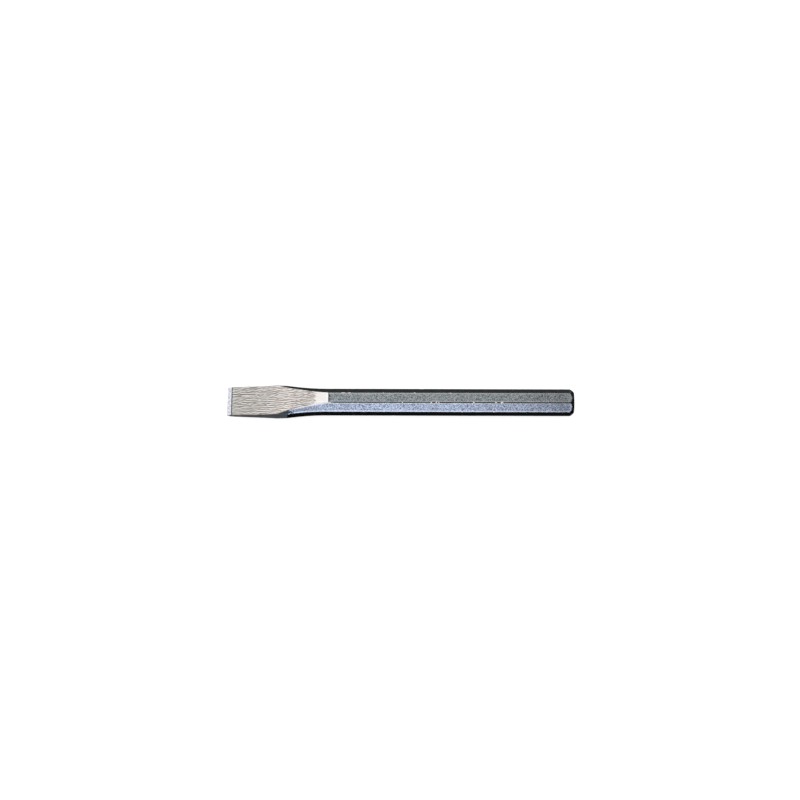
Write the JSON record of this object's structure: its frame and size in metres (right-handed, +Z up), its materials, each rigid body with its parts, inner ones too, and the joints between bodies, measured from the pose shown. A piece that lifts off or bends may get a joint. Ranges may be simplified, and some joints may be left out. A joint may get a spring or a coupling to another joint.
{
  "type": "cold chisel",
  "caption": "Flat cold chisel forged from octagonal steel bar: a bright ground wedge blade, a dark lacquered shank and a chamfered head for the hammer; it cuts and shears metal.",
  "frame": {"origin": "on the surface that the chisel lies on, under the middle of its bounding box", "axes": "+X along the bar from the cutting edge to the struck head, +Y along the cutting edge, +Z up, square to the flat that the chisel lies on"},
  "size_m": [0.25, 0.0224, 0.018],
  "materials": {
    "lacquered_steel": "thin black lacquer, semi-gloss, over a shot-blasted forging; the blade's faces and sides are ground through it to bright steel"
  },
  "bodies": {
    "root": {"chisel_forging": "lacquered_steel"}
  },
  "joints": []
}
